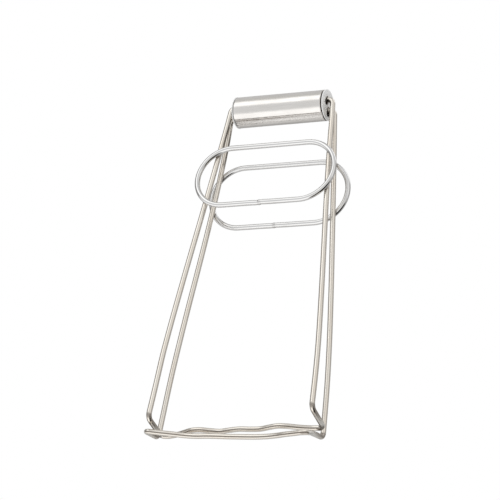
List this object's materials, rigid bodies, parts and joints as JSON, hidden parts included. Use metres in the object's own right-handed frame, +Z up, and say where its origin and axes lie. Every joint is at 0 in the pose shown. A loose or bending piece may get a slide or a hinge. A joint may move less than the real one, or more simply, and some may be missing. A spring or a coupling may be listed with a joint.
{
  "type": "wire dish tongs",
  "caption": "Hinged wire tongs with a rolled barrel handle, finger rings and inturned rippled jaws, for lifting hot dishes and vessels.",
  "frame": {"origin": "bottom centre of the bounding box, under the middle of the closed jaws", "axes": "+Z up the tongs from the jaws to the handle, +X along the handle barrel, -Y towards the front frame, whose finger ring stands outside it"},
  "size_m": [0.103, 0.0254, 0.2146],
  "materials": {
    "barrel_steel": "satin, brushed along the barrel",
    "cap_steel": "fine matt, as stamped",
    "frame_wire": "warm nickel-toned drawn wire",
    "ring_wire": "bright polished wire"
  },
  "bodies": {
    "handle": {"handle_barrel": "barrel_steel", "end_cap_left": "cap_steel", "end_cap_right": "cap_steel"},
    "front_tong": {"front_frame": "frame_wire", "front_ring": "ring_wire"},
    "rear_tong": {"rear_frame": "frame_wire", "rear_ring": "ring_wire"}
  },
  "joints": [
    {"name": "front_hinge", "type": "hinge", "parent": "handle", "child": "front_tong", "pos_m": [0.00062, -0.00253, 0.2081], "axis": [-1, 0, 0], "range_deg": [0, 60]},
    {"name": "rear_hinge", "type": "hinge", "parent": "handle", "child": "rear_tong", "pos_m": [0.00062, 0.00087, 0.2029], "axis": [1, 0, 0], "range_deg": [0, 60]}
  ]
}
